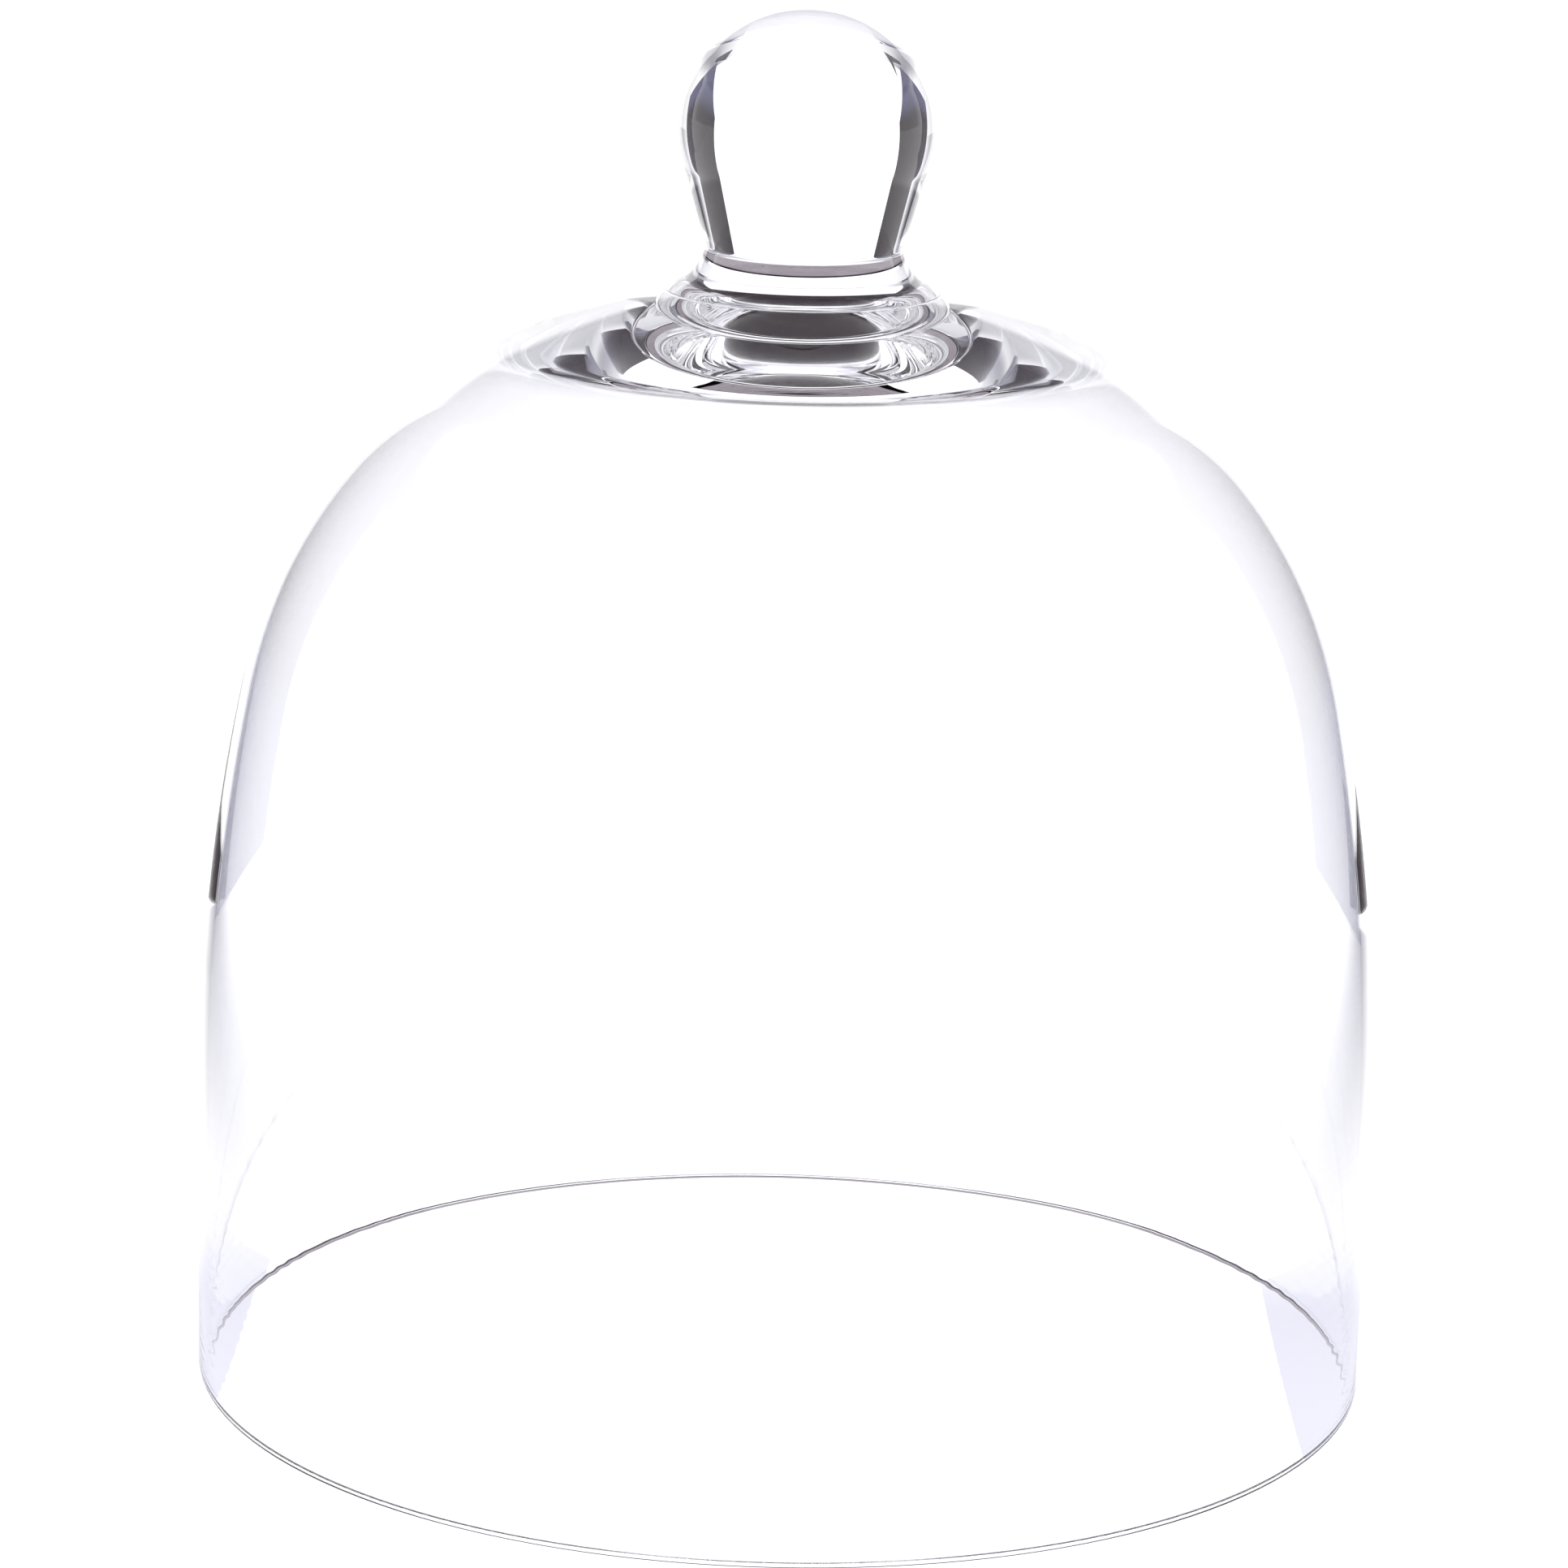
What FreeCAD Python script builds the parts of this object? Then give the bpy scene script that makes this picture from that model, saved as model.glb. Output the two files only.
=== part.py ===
"""A blown glass bell with a solid glass knob fused to its crown.

Millimetres. The origin is the centre of the circle that the rim rests on, and +Z is up, along the axis
of the bell. Both pieces are solids of revolution about that axis.

An outline is a chain of tangent arcs. Where it stands on an arc is given by its normal angle: 0 degrees
faces straight out from the axis, 90 degrees straight up and negative angles down.
"""

import FreeCAD, Part
import math
import os

# Bell, outside
RIM_RADIUS = 90.0
STRAIGHT_HEIGHT = 44.0
BELLY_ARC = 313.0
BELLY_ANGLE = 11.6
HAUNCH_ARC = 84.5
HAUNCH_ANGLE = 38.6
SHOULDER_ARC = 59.0
SHOULDER_ANGLE = 67.5
CROWN_ARC = 157.0

# Bell, inside: an even wall up to BLEND_ANGLE in the shoulder, then a thick crown with a flatter underside
WALL = 1.5
BLEND_ANGLE = 60.0
UNDERSIDE_HEIGHT = 163.0
UNDERSIDE_ARC = 200.0

# Rim: a narrow flat, ground true, between two fire-polished edges
RIM_ROUND = 0.5

# Knob
KNOB_RADIUS = 19.2
BULB_ARC = 17.2
BULB_ANGLE = 56.0
TAPER_ANGLE = -16.1
NECK_RADIUS = 14.8
NECK_ARC = 2.0
FOOT_ARC = 8.0
FOOT_ANGLE = 15.0

# The joint under the knob: a shallow dish, pressed by the hot knob into the crown
JOINT_ARC = 120.0

AXIS_POINT = FreeCAD.Vector(0, 0, 0)
AXIS = FreeCAD.Vector(0, 0, 1)


def at(r, z):
    """A point of an outline, on the half plane y = 0."""
    return FreeCAD.Vector(r, 0, z)


def on_arc(centre, radius, angle):
    """The point of a circle whose outward normal is at angle."""
    a = math.radians(angle)
    return centre + FreeCAD.Vector(radius * math.cos(a), 0, radius * math.sin(a))


def arc(centre, radius, start, end):
    """An arc edge from one normal angle to another."""
    points = [on_arc(centre, radius, a) for a in (start, (start + end) / 2.0, end)]
    return Part.Arc(*points).toShape()


def centre_behind(point, radius, angle):
    """The centre of the arc that passes through point with its outward normal at angle."""
    return on_arc(point, -radius, angle)


def line(start, end):
    return Part.makeLine(start, end)


def revolved(edges):
    """The solid that a closed outline sweeps in one turn about the axis."""
    face = Part.Face(Part.Wire(Part.__sortEdges__(edges)))
    return face.revolve(AXIS_POINT, AXIS, 360)


def foot_centre_radius():
    """How far from the axis the foot's arc has its centre: the neck's tight arc touches it at FOOT_ANGLE."""
    return NECK_RADIUS + NECK_ARC + (FOOT_ARC - NECK_ARC) * math.cos(math.radians(FOOT_ANGLE))


def outside_edges():
    """The bell's outside, its lower end, its upper end at the knob's foot, and the normal angle there."""
    bottom = at(RIM_RADIUS, RIM_ROUND)
    spring = at(RIM_RADIUS, STRAIGHT_HEIGHT)
    edges = [line(bottom, spring)]
    here = spring
    angle = 0.0
    arcs = [
        (BELLY_ARC, BELLY_ANGLE),
        (HAUNCH_ARC, HAUNCH_ANGLE),
        (SHOULDER_ARC, SHOULDER_ANGLE),
    ]
    for radius, end in arcs:
        centre = centre_behind(here, radius, angle)
        edges.append(arc(centre, radius, angle, end))
        here = on_arc(centre, radius, end)
        angle = end
    # The crown's arc touches the knob's hollow foot, whose centre is outside the glass
    centre = centre_behind(here, CROWN_ARC, angle)
    end = math.degrees(math.acos((foot_centre_radius() - centre.x) / (CROWN_ARC + FOOT_ARC)))
    edges.append(arc(centre, CROWN_ARC, angle, end))
    return edges, bottom, on_arc(centre, CROWN_ARC, end), end


def joint_edge(foot):
    """The face that bell and knob share: a shallow dish from the knob's foot down to the axis."""
    half_angle = math.asin(foot.x / JOINT_ARC)
    centre = at(0, foot.z + JOINT_ARC * math.cos(half_angle))
    return arc(centre, JOINT_ARC, math.degrees(half_angle) - 90.0, -90.0), on_arc(centre, JOINT_ARC, -90.0)


def inside_edges():
    """The bell's inside from the rim to the axis: parallel to the outside, then the crown's underside."""
    bottom = at(RIM_RADIUS - WALL, RIM_ROUND)
    spring = at(RIM_RADIUS - WALL, STRAIGHT_HEIGHT)
    edges = [line(bottom, spring)]
    here = spring
    angle = 0.0
    arcs = [
        (BELLY_ARC - WALL, BELLY_ANGLE),
        (HAUNCH_ARC - WALL, HAUNCH_ANGLE),
        (SHOULDER_ARC - WALL, BLEND_ANGLE),
    ]
    for radius, end in arcs:
        centre = centre_behind(here, radius, angle)
        edges.append(arc(centre, radius, angle, end))
        here = on_arc(centre, radius, end)
        angle = end
    # The blend's arc touches the underside's arc, so their centres lie on one radius
    low = at(0, UNDERSIDE_HEIGHT - UNDERSIDE_ARC)
    reach = here - low
    outward = on_arc(AXIS_POINT, 1.0, angle)
    radius = (UNDERSIDE_ARC**2 - reach.dot(reach)) / (2.0 * (UNDERSIDE_ARC - reach.dot(outward)))
    centre = centre_behind(here, radius, angle)
    touch = math.degrees(math.atan2(centre.z - low.z, centre.x))
    edges.append(arc(centre, radius, angle, touch))
    edges.append(arc(low, UNDERSIDE_ARC, touch, 90.0))
    return edges, bottom, at(0, UNDERSIDE_HEIGHT)


def rim_edges(outer, inner):
    """The foot of the wall: a flat between two rounds."""
    outer_centre = at(outer.x - RIM_ROUND, RIM_ROUND)
    inner_centre = at(inner.x + RIM_ROUND, RIM_ROUND)
    return [
        arc(outer_centre, RIM_ROUND, 0.0, -90.0),
        line(at(outer_centre.x, 0), at(inner_centre.x, 0)),
        arc(inner_centre, RIM_ROUND, -90.0, -180.0),
    ]


def dome_shell():
    """The blown bell: thin walls, a thick crown and an open foot."""
    outside, outer_bottom, foot, _ = outside_edges()
    inside, inner_bottom, underside = inside_edges()
    joint, joint_middle = joint_edge(foot)
    edges = rim_edges(outer_bottom, inner_bottom) + outside + [joint] + inside
    return revolved(edges + [line(joint_middle, underside)])


def knob():
    """The solid knob: a spreading foot, a tight neck, a taper out to the bulb, and a domed top."""
    foot, foot_angle = outside_edges()[2:]
    joint, joint_middle = joint_edge(foot)
    # Foot and neck are hollow and run on smoothly from the crown: their arcs' centres are outside the glass
    foot_centre = on_arc(foot, FOOT_ARC, foot_angle)
    neck_centre = on_arc(foot_centre, FOOT_ARC - NECK_ARC, 180.0 + FOOT_ANGLE)
    taper_start = on_arc(neck_centre, NECK_ARC, 180.0 + TAPER_ANGLE)
    # The bulb's arc starts where the taper reaches its tangent point
    bulb_low = on_arc(at(KNOB_RADIUS - BULB_ARC, 0), BULB_ARC, TAPER_ANGLE)
    rise = (bulb_low.x - taper_start.x) / math.tan(math.radians(-TAPER_ANGLE))
    taper_end = at(bulb_low.x, taper_start.z + rise)
    bulb_centre = centre_behind(taper_end, BULB_ARC, TAPER_ANGLE)
    bulb_high = on_arc(bulb_centre, BULB_ARC, BULB_ANGLE)
    # The domed top's arc has its centre on the axis
    top_arc = bulb_high.x / math.cos(math.radians(BULB_ANGLE))
    top_centre = at(0, bulb_high.z - top_arc * math.sin(math.radians(BULB_ANGLE)))
    edges = [
        joint,
        arc(foot_centre, FOOT_ARC, 180.0 + foot_angle, 180.0 + FOOT_ANGLE),
        arc(neck_centre, NECK_ARC, 180.0 + FOOT_ANGLE, 180.0 + TAPER_ANGLE),
        line(taper_start, taper_end),
        arc(bulb_centre, BULB_ARC, TAPER_ANGLE, BULB_ANGLE),
        arc(top_centre, top_arc, BULB_ANGLE, 90.0),
        line(on_arc(top_centre, top_arc, 90.0), joint_middle),
    ]
    return revolved(edges)


def main():
    os.makedirs("parts", exist_ok=True)
    for name, shape in [("dome_shell", dome_shell()), ("knob", knob())]:
        box = shape.optimalBoundingBox()
        print(f"{name}: valid {shape.isValid()}, {shape.ShapeType}, {shape.Volume / 1000:.1f} ml,"
              f" radius {box.XMax:.2f}, z {box.ZMin:.2f} to {box.ZMax:.2f}")
        shape.exportStep(f"parts/{name}.step")


main()
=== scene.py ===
import math

import bpy
import numpy as np
from mathutils import Matrix, Vector


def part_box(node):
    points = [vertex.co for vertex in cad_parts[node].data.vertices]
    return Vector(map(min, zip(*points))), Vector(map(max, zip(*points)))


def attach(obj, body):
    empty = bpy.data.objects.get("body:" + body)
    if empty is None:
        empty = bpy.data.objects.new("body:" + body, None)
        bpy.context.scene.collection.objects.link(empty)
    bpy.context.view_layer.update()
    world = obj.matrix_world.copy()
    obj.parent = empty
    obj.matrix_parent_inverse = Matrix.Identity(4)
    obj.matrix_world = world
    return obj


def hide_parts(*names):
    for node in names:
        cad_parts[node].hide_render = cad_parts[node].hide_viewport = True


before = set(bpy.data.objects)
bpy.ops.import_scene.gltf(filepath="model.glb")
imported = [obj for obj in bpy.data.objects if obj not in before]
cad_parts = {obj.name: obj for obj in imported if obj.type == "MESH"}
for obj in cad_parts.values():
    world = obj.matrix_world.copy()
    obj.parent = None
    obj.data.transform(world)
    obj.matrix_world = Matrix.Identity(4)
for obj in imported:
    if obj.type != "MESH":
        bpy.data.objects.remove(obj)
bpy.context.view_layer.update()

MM = 0.001
BELL_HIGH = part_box("dome_shell")[1]

# Bell, outside: tangent arcs, each to the angle of its outward normal above the horizontal
RIM_RADIUS = BELL_HIGH[0]
STRAIGHT_HEIGHT = 44.0 * MM
BELLY_ARC, BELLY_ANGLE = 313.0 * MM, 11.6
HAUNCH_ARC, HAUNCH_ANGLE = 84.5 * MM, 38.6
SHOULDER_ARC, SHOULDER_ANGLE = 59.0 * MM, 67.5
CROWN_ARC = 157.0 * MM

# Bell, inside
WALL = 1.5 * MM
UNDERSIDE_HEIGHT = 163.0 * MM
UNDERSIDE_ARC = 200.0 * MM
RIM_ROUND = 0.5 * MM
BLEND_ANGLE = 60.0

# Knob
KNOB_RADIUS = 19.2 * MM
BULB_ARC, BULB_ANGLE = 17.2 * MM, 56.0
TAPER_ANGLE = -16.1
NECK_RADIUS = 14.8 * MM
NECK_ARC = 2.0 * MM
FOOT_ARC = 8.0 * MM
FOOT_ANGLE = 15.0
FOOT_CENTRE = NECK_RADIUS + NECK_ARC + (FOOT_ARC - NECK_ARC) * math.cos(math.radians(FOOT_ANGLE))
JOINT_ARC = 120.0 * MM

# Unevenness of the blown wall, in the visual mesh only
RIPPLE = 0.012 * MM
RIPPLE_STEP = 2.6 * MM
RIPPLE_HEIGHT = 34.0 * MM
WAVE = 0.03 * MM
WALL_START = 80.0 * MM
WALL_BLEND = 8.0 * MM
RIM_FADE = 3.0 * MM
INNER_SHARE = 0.6

# Glass: the thin wall, and the deeper tint of the solid knob above the crown
WALL_TINT = (0.967, 0.967, 0.992, 1)
KNOB_TINT = (0.925, 0.92, 0.94, 1)
TINT_START, TINT_END = 0.17, 0.18

# Resolution of the meshes
TURN_STEPS = 144
RING_STEPS = 96

# Stage: x runs to the camera's right and y away from it, in metres
FLOOR_HALF = 12.0
FLOOR_HEIGHT = -0.0002
MAT_HEIGHT = -0.0001
SHADE_HEIGHT = -0.00005
SHADE_MARGIN = 0.1 * MM
LEFT_MAT_SHIFT = 0.006
MAT_EDGE = [(0.077, -0.12), (0.079, 0.04), (0.09, 0.05), (0.115, 0.25), (0.36, 0.3), (0.36, -0.12)]
WIDE_CARD = [(0.33, 0.52, 0.44), (0.6, 0.42, 0.4), (0.6, 0.36, 0.0), (0.22, 0.25, 0.001), (0.33, 0.52, 0.1)]
LOW_LEFT_CARD = [
    (-0.135, 0.2, 0.018),
    (-0.19, 0.2, 0.018),
    (-0.19, 0.2, 0.03),
    (-0.15, 0.2, 0.04),
    (-0.14, 0.2, 0.082),
]
LOW_RIGHT_CARD = [(0.135, 0.2, 0.022), (0.19, 0.2, 0.022), (0.19, 0.2, 0.035), (0.14, 0.2, 0.05)]

# Stage colours
FLOOR_GLOW = (1.3, 1.3, 1.3, 1)
CARD_LOW = (0.13, 0.13, 0.22, 1)
CARD_HIGH = (0.04, 0.031, 0.038, 1)
MAT_LIGHT = (0.92, 0.92, 1.02, 1)
MAT_DARK = (0.4, 0.39, 0.44, 1)
RIM_SHADE = (0.42, 0.37, 0.41, 1)
BEHIND_GLOW = (1.35, 1.35, 1.36, 1)
SIDE_GLOW = (0.76, 0.76, 0.79, 1)
TOP_GLOW = (0.03, 0.021, 0.027, 1)
BOX_GLOW = (0.8, 0.78, 0.9, 1)

# Camera
ELEVATION = 14.17
DISTANCE = 0.884
LENS = 133.2
SENSOR = 36.0
ROLL = 1.35
TARGET = Vector((-0.0011, 0.0, 0.0916))

# Light paths: the glass passes light between its faces many times
BOUNCES = 64
TRANSPARENT_BOUNCES = 16


def around(centre, radius, start, end, count):
    """Points of an arc between two normal angles, the last one left out."""
    angles = np.radians(np.linspace(start, end, count, endpoint=False))
    return np.stack([centre[0] + radius * np.cos(angles), centre[1] + radius * np.sin(angles)], axis=1)


def straight(start, end, count):
    """Points of a straight run, the last one left out."""
    shares = np.linspace(0.0, 1.0, count, endpoint=False)[:, None]
    return np.array(start) + shares * (np.array(end) - np.array(start))


def stepped(point, radius, angle):
    """The point at radius from point, in the direction of a normal angle."""
    a = math.radians(angle)
    return (point[0] + radius * math.cos(a), point[1] + radius * math.sin(a))


def bell_outside():
    """The outside from the rim's round to the knob's foot, and the foot's point."""
    here = (RIM_RADIUS, STRAIGHT_HEIGHT)
    runs = [straight((RIM_RADIUS, RIM_ROUND), here, 110)]
    angle = 0.0
    arcs = [
        (BELLY_ARC, BELLY_ANGLE, 60),
        (HAUNCH_ARC, HAUNCH_ANGLE, 50),
        (SHOULDER_ARC, SHOULDER_ANGLE, 50),
    ]
    for radius, end, count in arcs:
        centre = stepped(here, -radius, angle)
        runs.append(around(centre, radius, angle, end, count))
        here = stepped(centre, radius, end)
        angle = end
    centre = stepped(here, -CROWN_ARC, angle)
    end = math.degrees(math.acos((FOOT_CENTRE - centre[0]) / (CROWN_ARC + FOOT_ARC)))
    runs.append(around(centre, CROWN_ARC, angle, end, 50))
    return np.concatenate(runs), stepped(centre, CROWN_ARC, end), end


def joint_run(foot, count):
    """The face that bell and knob share, from the foot to the axis."""
    half_angle = math.asin(foot[0] / JOINT_ARC)
    centre = (0.0, foot[1] + JOINT_ARC * math.cos(half_angle))
    points = around(centre, JOINT_ARC, math.degrees(half_angle) - 90.0, -90.0, count)
    return points, (0.0, centre[1] - JOINT_ARC)


def bell_inside():
    """The inside from the rim's round to the axis."""
    inner = RIM_RADIUS - WALL
    here = (inner, STRAIGHT_HEIGHT)
    runs = [straight((inner, RIM_ROUND), here, 110)]
    angle = 0.0
    arcs = [
        (BELLY_ARC, BELLY_ANGLE, 50),
        (HAUNCH_ARC, HAUNCH_ANGLE, 40),
        (SHOULDER_ARC, BLEND_ANGLE, 24),
    ]
    for outer_radius, end, count in arcs:
        radius = outer_radius - WALL
        centre = stepped(here, -radius, angle)
        runs.append(around(centre, radius, angle, end, count))
        here = stepped(centre, radius, end)
        angle = end
    low = (0.0, UNDERSIDE_HEIGHT - UNDERSIDE_ARC)
    reach = np.array(here) - np.array(low)
    outward = np.array([math.cos(math.radians(angle)), math.sin(math.radians(angle))])
    radius = (UNDERSIDE_ARC**2 - reach.dot(reach)) / (2 * (UNDERSIDE_ARC - reach.dot(outward)))
    centre = stepped(here, -radius, angle)
    touch = math.degrees(math.atan2(centre[1] - low[1], centre[0]))
    runs.append(around(centre, radius, angle, touch, 50))
    runs.append(around(low, UNDERSIDE_ARC, touch, 90.0, 60))
    return np.concatenate(runs)


def rim_run():
    """The rim from the inside round to the outside round."""
    outer = (RIM_RADIUS - RIM_ROUND, RIM_ROUND)
    inner = (RIM_RADIUS - WALL + RIM_ROUND, RIM_ROUND)
    return np.concatenate([
        around(inner, RIM_ROUND, -180.0, -90.0, 8),
        straight((inner[0], 0.0), (outer[0], 0.0), 3),
        around(outer, RIM_ROUND, -90.0, 0.0, 8),
    ])


def knob_outline(foot, foot_angle):
    """The knob's outside from its foot to the top of the axis."""
    foot_centre = stepped(foot, FOOT_ARC, foot_angle)
    neck_centre = stepped(foot_centre, FOOT_ARC - NECK_ARC, 180.0 + FOOT_ANGLE)
    taper_start = stepped(neck_centre, NECK_ARC, 180.0 + TAPER_ANGLE)
    bulb_low = stepped((KNOB_RADIUS - BULB_ARC, 0.0), BULB_ARC, TAPER_ANGLE)
    rise = (bulb_low[0] - taper_start[0]) / math.tan(math.radians(-TAPER_ANGLE))
    taper_end = (bulb_low[0], taper_start[1] + rise)
    bulb_centre = stepped(taper_end, -BULB_ARC, TAPER_ANGLE)
    bulb_high = stepped(bulb_centre, BULB_ARC, BULB_ANGLE)
    top_arc = bulb_high[0] / math.cos(math.radians(BULB_ANGLE))
    top_centre = (0.0, bulb_high[1] - top_arc * math.sin(math.radians(BULB_ANGLE)))
    return np.concatenate([
        around(foot_centre, FOOT_ARC, 180.0 + foot_angle, 180.0 + FOOT_ANGLE, 30),
        around(neck_centre, NECK_ARC, 180.0 + FOOT_ANGLE, 180.0 + TAPER_ANGLE, 12),
        straight(taper_start, taper_end, 30),
        around(bulb_centre, BULB_ARC, TAPER_ANGLE, BULB_ANGLE, 60),
        around(top_centre, top_arc, BULB_ANGLE, 90.0, 40),
    ]), (0.0, top_centre[1] + top_arc)


def revolved(name, bottom_point, outline, top_point, materials, joint_rows=None, uneven=None):
    """A closed mesh swept by an outline that runs from a point on the axis to another."""
    turns = np.linspace(0.0, 2 * math.pi, TURN_STEPS, endpoint=False)
    rings = len(outline)
    r = outline[:, 0][:, None]
    z = np.repeat(outline[:, 1][:, None], TURN_STEPS, axis=1)
    if uneven is not None:
        r = r + uneven(r, z, turns)
    points = np.stack([r * np.cos(turns), r * np.sin(turns), z], axis=2).reshape(-1, 3)
    points = np.concatenate([points, [[0, 0, bottom_point[1]], [0, 0, top_point[1]]]])
    low = rings * TURN_STEPS
    high = low + 1
    faces = []
    slots = []
    for i in range(rings - 1):
        lower = i * TURN_STEPS
        upper = lower + TURN_STEPS
        for j in range(TURN_STEPS):
            k = (j + 1) % TURN_STEPS
            faces.append((lower + j, lower + k, upper + k, upper + j))
            slots.append(int(joint_rows is not None and joint_rows[0] <= i < joint_rows[1]))
    last = (rings - 1) * TURN_STEPS
    for j in range(TURN_STEPS):
        k = (j + 1) % TURN_STEPS
        faces.append((low, k, j))
        slots.append(int(joint_rows is not None and joint_rows[0] < 0))
        faces.append((high, last + j, last + k))
        slots.append(int(joint_rows is not None and joint_rows[1] >= rings))
    mesh = bpy.data.meshes.new(name)
    mesh.from_pydata(points.tolist(), [], faces)
    for material in materials:
        mesh.materials.append(material)
    mesh.polygons.foreach_set("material_index", slots)
    mesh.polygons.foreach_set("use_smooth", [True] * len(faces))
    mesh.update()
    piece = bpy.data.objects.new(name, mesh)
    bpy.context.collection.objects.link(piece)
    return piece


def sum_of(nodes, links, kind, *inputs):
    """A math node fed with values or sockets."""
    node = nodes.new("ShaderNodeMath")
    node.operation = kind
    for slot, value in zip(node.inputs, inputs):
        if isinstance(value, (int, float)):
            slot.default_value = value
        else:
            links.new(value, slot)
    return node.outputs[0]


def smooth(nodes, links, value, low, high, low_out, high_out):
    """A smooth step between two values."""
    node = nodes.new("ShaderNodeMapRange")
    node.interpolation_type = "SMOOTHSTEP"
    for slot, v in zip(node.inputs, (value, low, high, low_out, high_out)):
        if isinstance(v, (int, float)):
            slot.default_value = v
        else:
            links.new(v, slot)
    return node.outputs[0]


def mixed(nodes, links, share, first, second):
    """A colour between two, each given as a value or a socket."""
    node = nodes.new("ShaderNodeMix")
    node.data_type = "RGBA"
    links.new(share, node.inputs[0])
    for slot, color in ((node.inputs[6], first), (node.inputs[7], second)):
        if isinstance(color, tuple):
            slot.default_value = color
        else:
            links.new(color, slot)
    return node.outputs[2]


def separated(nodes, links, source):
    """The x, y and z of a place or a direction."""
    split = nodes.new("ShaderNodeSeparateXYZ")
    links.new(source, split.inputs[0])
    return split.outputs


def blown(r, z, turns):
    """How far the wall strays from true: rings near the rim, strongest at left and right, and slow waves."""
    wall = np.clip((r - WALL_START) / WALL_BLEND, 0.0, 1.0)
    low = np.exp(-np.square(z / RIPPLE_HEIGHT))
    around_bell = 1.3 * np.sin(3 * turns + 40.0 * z / RIM_RADIUS) + 0.8 * np.sin(turns)
    rings = np.sin(2 * math.pi * z / RIPPLE_STEP + around_bell) * (0.1 + 0.9 * np.cos(turns) ** 12)
    slow = np.sin(3 * turns + 9.0 * z / RIM_RADIUS) + 0.6 * np.sin(5 * turns - 14.0 * z / RIM_RADIUS)
    inner = np.where(r < RIM_RADIUS - WALL / 2, INNER_SHARE, 1.0)
    lift = np.clip(z / RIM_FADE, 0.0, 1.0)
    return wall * lift * (RIPPLE * low * rings * inner + WAVE * slow * inner)


def glass():
    """Clear glass. The knob is tinted deeper than the wall, by height, in place of absorption."""
    material = bpy.data.materials.new("clear_glass")
    material.use_nodes = True
    shader = material.node_tree.nodes["Principled BSDF"]
    nodes, links = material.node_tree.nodes, material.node_tree.links
    place = nodes.new("ShaderNodeTexCoord")
    height = separated(nodes, links, place.outputs["Object"])[2]
    deep = smooth(nodes, links, height, TINT_START, TINT_END, 0.0, 1.0)
    links.new(mixed(nodes, links, deep, WALL_TINT, KNOB_TINT), shader.inputs["Base Color"])
    shader.inputs["Roughness"].default_value = 0.0
    shader.inputs["IOR"].default_value = 1.5
    shader.inputs["Transmission Weight"].default_value = 1.0
    return material


def fused():
    """The joint inside the glass, where there is no surface to see."""
    material = bpy.data.materials.new("fused_joint")
    material.use_nodes = True
    shader = material.node_tree.nodes["Principled BSDF"]
    shader.inputs["Alpha"].default_value = 0.0
    return material


def glowing(name, color):
    """An evenly bright stage surface, which no light is sampled from."""
    material = bpy.data.materials.new(name)
    material.use_nodes = True
    shader = material.node_tree.nodes["Principled BSDF"]
    shader.inputs["Base Color"].default_value = (0.02, 0.02, 0.02, 1)
    shader.inputs["Specular IOR Level"].default_value = 0.0
    shader.inputs["Emission Color"].default_value = color
    shader.inputs["Emission Strength"].default_value = 1.0
    material.cycles.emission_sampling = "NONE"
    return material


def two_tone_card():
    """The wide cards' material: pale violet near the floor, nearly black above."""
    material = glowing("black_card", CARD_HIGH)
    nodes, links = material.node_tree.nodes, material.node_tree.links
    place = nodes.new("ShaderNodeNewGeometry")
    height = separated(nodes, links, place.outputs["Position"])[2]
    high = smooth(nodes, links, height, 0.05, 0.11, 0.0, 1.0)
    color = mixed(nodes, links, high, CARD_LOW, CARD_HIGH)
    links.new(color, nodes["Principled BSDF"].inputs["Emission Color"])
    return material


def mat_material():
    """The mats' material: pale near the bell, grey farther out, and as bright as the floor at the edge."""
    material = glowing("mat", FLOOR_GLOW)
    nodes, links = material.node_tree.nodes, material.node_tree.links
    place = nodes.new("ShaderNodeNewGeometry")
    side, away, _ = separated(nodes, links, place.outputs["Position"])
    aside = sum_of(nodes, links, "ABSOLUTE", side)
    ahead = sum_of(nodes, links, "MAXIMUM", away, 0.0)
    spread = sum_of(nodes, links, "MULTIPLY_ADD", ahead, -0.15, aside)
    light = mixed(nodes, links, smooth(nodes, links, away, 0.02, 0.07, 0.0, 1.0), MAT_LIGHT, FLOOR_GLOW)
    dark = mixed(nodes, links, smooth(nodes, links, spread, 0.08, 0.2, 0.0, 1.0), light, MAT_DARK)
    color = mixed(nodes, links, smooth(nodes, links, aside, 0.24, 0.36, 0.0, 1.0), dark, FLOOR_GLOW)
    links.new(color, nodes["Principled BSDF"].inputs["Emission Color"])
    return material


def staged(name, points, faces, material):
    """A stage piece, which isn't part of the object."""
    mesh = bpy.data.meshes.new(name)
    mesh.from_pydata(points, [], faces)
    mesh.materials.append(material)
    piece = bpy.data.objects.new(name, mesh)
    bpy.context.collection.objects.link(piece)
    return piece


def card(name, corners, material):
    """A flat stage piece with one face."""
    return staged(name, corners, [tuple(range(len(corners)))], material)


def seen_in_glass_only(piece):
    """Keeps a stage piece out of direct view: it shows only through the glass or mirrored in it."""
    piece.visible_camera = False
    piece.visible_diffuse = False
    piece.visible_shadow = False


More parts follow.
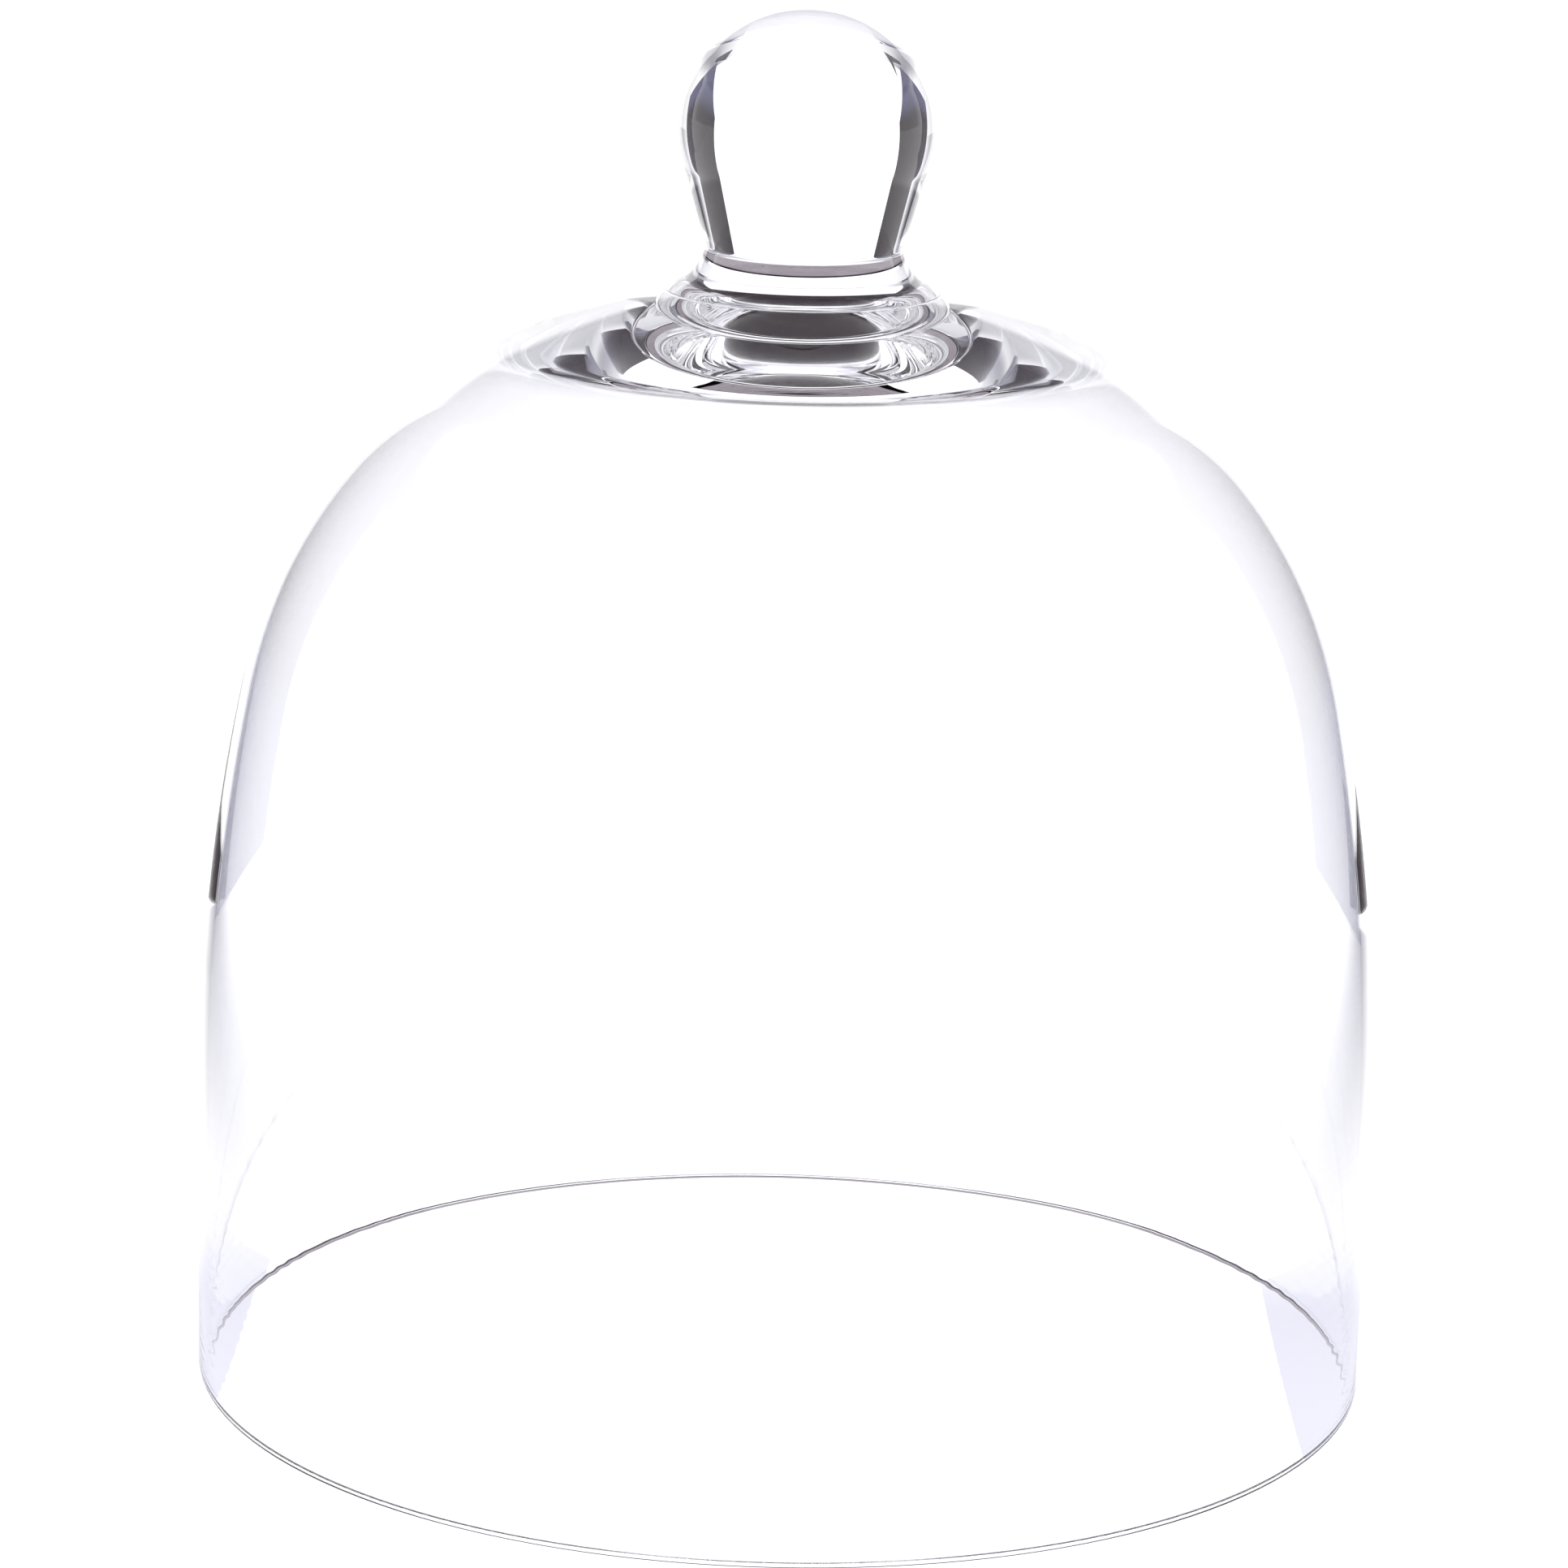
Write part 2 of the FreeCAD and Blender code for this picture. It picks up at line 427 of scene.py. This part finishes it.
def build_glass():
    """The bell and the knob, each closed, with the joint's faces made invisible."""
    clear = glass()
    joint = fused()
    outside, foot, foot_angle = bell_outside()
    joint_points, joint_top = joint_run(foot, 12)
    bell_line = np.concatenate([bell_inside()[::-1], rim_run(), outside, joint_points])
    joint_rows = (len(bell_line) - len(joint_points), len(bell_line))
    underside = (0.0, UNDERSIDE_HEIGHT)
    bell = revolved("blown_bell", underside, bell_line, joint_top, [clear, joint], joint_rows, blown)
    knob_points, knob_top = knob_outline(foot, foot_angle)
    knob_line = np.concatenate([joint_points[:0:-1], knob_points])
    joint_rows = (-1, len(joint_points) - 1)
    knob = revolved("glass_knob", joint_top, knob_line, knob_top, [clear, joint], joint_rows)
    for piece, node in ((bell, "dome_shell"), (knob, "knob")):
        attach(piece, "root")
        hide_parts(node)


def build_floor():
    """A plain pale floor."""
    corners = [(-1, -1), (1, -1), (1, 1), (-1, 1)]
    points = [(x * FLOOR_HALF, y * FLOOR_HALF, FLOOR_HEIGHT) for x, y in corners]
    card("floor", points, glowing("floor", FLOOR_GLOW))


def build_mats():
    """Two toned mats beside the bell, seen only in the glass."""
    material = mat_material()
    for hand, shift in ((-1, LEFT_MAT_SHIFT), (1, 0.0)):
        corners = [(hand * (x + shift), y, MAT_HEIGHT) for x, y in MAT_EDGE]
        seen_in_glass_only(card(f"mat_{hand}", corners[::hand], material))


def build_rim_shade():
    """A dim ring under the rim, which dulls the light that the wall traps, seen only in the glass."""
    turns = np.linspace(0.0, 2 * math.pi, RING_STEPS, endpoint=False)
    radii = (RIM_RADIUS - WALL - SHADE_MARGIN, RIM_RADIUS + SHADE_MARGIN)
    points = [(radius * math.cos(t), radius * math.sin(t), SHADE_HEIGHT) for radius in radii for t in turns]
    faces = []
    for k in range(RING_STEPS):
        following = (k + 1) % RING_STEPS
        faces.append((k, RING_STEPS + k, RING_STEPS + following, following))
    seen_in_glass_only(staged("rim_shade", points, faces, glowing("rim_shade", RIM_SHADE)))


def build_cards():
    """Dark cards behind the bell at both sides, which darken the edges of the glass, seen only in it."""
    tall = two_tone_card()
    deep = glowing("deep_card", CARD_HIGH)
    wide_left = [(-x, y, z) for x, y, z in WIDE_CARD]
    cards = [
        ("wide_left", wide_left, tall),
        ("wide_right", WIDE_CARD, tall),
        ("low_left", LOW_LEFT_CARD, deep),
        ("low_right", LOW_RIGHT_CARD, deep),
    ]
    for name, corners, material in cards:
        seen_in_glass_only(card(f"card_{name}", corners, material))


def build_world():
    """Bright behind the bell, pale at the sides and dark overhead, with a soft box high on either side."""
    world = bpy.data.worlds.new("studio")
    bpy.context.scene.world = world
    world.use_nodes = True
    nodes, links = world.node_tree.nodes, world.node_tree.links
    coords = nodes.new("ShaderNodeTexCoord")
    side, away, up = separated(nodes, links, coords.outputs["Generated"])
    level = mixed(nodes, links, smooth(nodes, links, away, 0.42, 0.55, 0.0, 1.0), SIDE_GLOW, BEHIND_GLOW)
    dark_top = mixed(nodes, links, smooth(nodes, links, up, 0.3, 0.36, 0.0, 1.0), level, TOP_GLOW)
    aside = smooth(nodes, links, sum_of(nodes, links, "ABSOLUTE", side), 0.5, 0.6, 0.0, 1.0)
    boxes = sum_of(nodes, links, "MULTIPLY", aside, smooth(nodes, links, up, 0.42, 0.5, 0.0, 1.0))
    boxes = sum_of(nodes, links, "MULTIPLY", boxes, smooth(nodes, links, up, 0.72, 0.8, 1.0, 0.0))
    links.new(mixed(nodes, links, boxes, dark_top, BOX_GLOW), nodes["Background"].inputs["Color"])


def build_camera():
    """The camera, in front of the bell and a little above it."""
    data = bpy.data.cameras.new("camera")
    data.lens = LENS
    data.sensor_width = SENSOR
    camera = bpy.data.objects.new("camera", data)
    bpy.context.collection.objects.link(camera)
    elevation = math.radians(ELEVATION)
    back = Vector((0.0, -math.cos(elevation), math.sin(elevation)))
    camera.location = TARGET + back * DISTANCE
    aim = (-back).to_track_quat("-Z", "Y").to_matrix() @ Matrix.Rotation(math.radians(ROLL), 3, "Z")
    camera.rotation_mode = "QUATERNION"
    camera.rotation_quaternion = aim.to_quaternion()
    bpy.context.scene.camera = camera


def set_light_paths():
    """Plain colours, and enough bounces for light inside the wall."""
    scene = bpy.context.scene
    scene.view_settings.view_transform = "Standard"
    scene.cycles.max_bounces = BOUNCES
    scene.cycles.transmission_bounces = BOUNCES
    scene.cycles.glossy_bounces = BOUNCES
    scene.cycles.transparent_max_bounces = TRANSPARENT_BOUNCES


build_glass()
build_floor()
build_mats()
build_rim_shade()
build_cards()
build_world()
build_camera()
set_light_paths()
